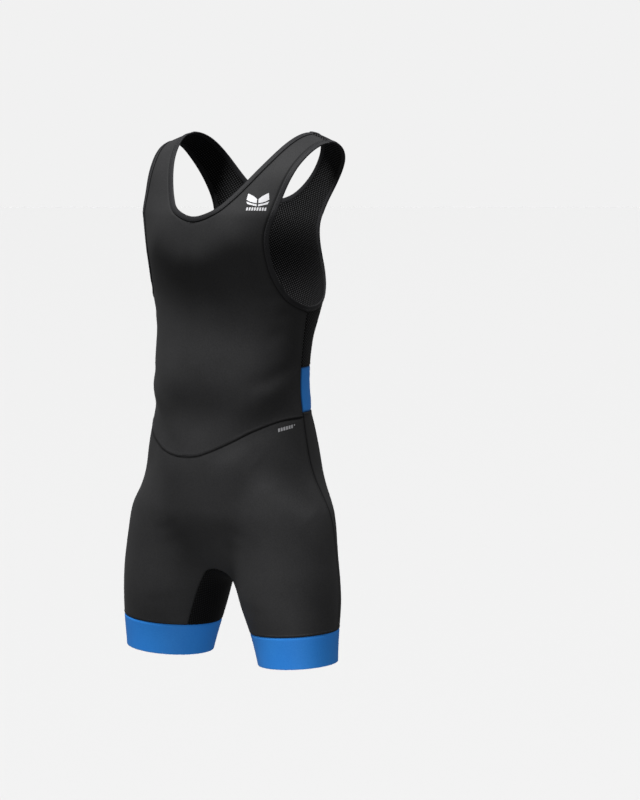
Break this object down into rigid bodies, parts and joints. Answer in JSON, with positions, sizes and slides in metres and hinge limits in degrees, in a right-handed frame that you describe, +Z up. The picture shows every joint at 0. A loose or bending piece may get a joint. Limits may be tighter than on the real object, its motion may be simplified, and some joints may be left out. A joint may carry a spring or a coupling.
{
  "type": "wrestling singlet",
  "caption": "Sleeveless one-piece sports garment with scooped neck, deep armholes, mesh back, contrast waistband and cuffed short legs, filled out as worn without a wearer.",
  "frame": {"origin": "midway between the two shoulder straps, at the height where they rest on the shoulders", "axes": "+Z up along the garment, from the leg openings to the shoulder straps; the front faces -Y; +X is the wearer's left"},
  "size_m": [0.3944, 0.2401, 0.8486],
  "materials": {
    "smooth_knit": "smooth black stretch knit, slight sheen",
    "mesh": "black open mesh knit",
    "blue_knit": "smooth blue stretch knit, slight sheen",
    "binding": "folded black knit strip",
    "white_print": "white transfer film",
    "navy_print": "dark blue transfer film",
    "grey_print": "grey transfer film",
    "label": "black woven label"
  },
  "bodies": {
    "root": {"front_torso": "smooth_knit", "back_torso": "mesh", "back_waistband": "blue_knit", "front_shorts": "smooth_knit", "back_shorts": "smooth_knit", "gusset": "mesh", "cuff_left": "blue_knit", "cuff_right": "blue_knit", "neck_binding": "binding", "armhole_binding_left": "binding", "armhole_binding_right": "binding", "chest_print": "white_print", "back_print": "white_print", "hip_print": "grey_print", "neck_label": "label", "waistband_print_1": "navy_print", "waistband_print_2": "navy_print", "waistband_print_3": "navy_print", "waistband_print_4": "navy_print", "waistband_print_5": "navy_print", "waistband_print_6": "navy_print", "waistband_print_7": "navy_print"}
  },
  "joints": []
}
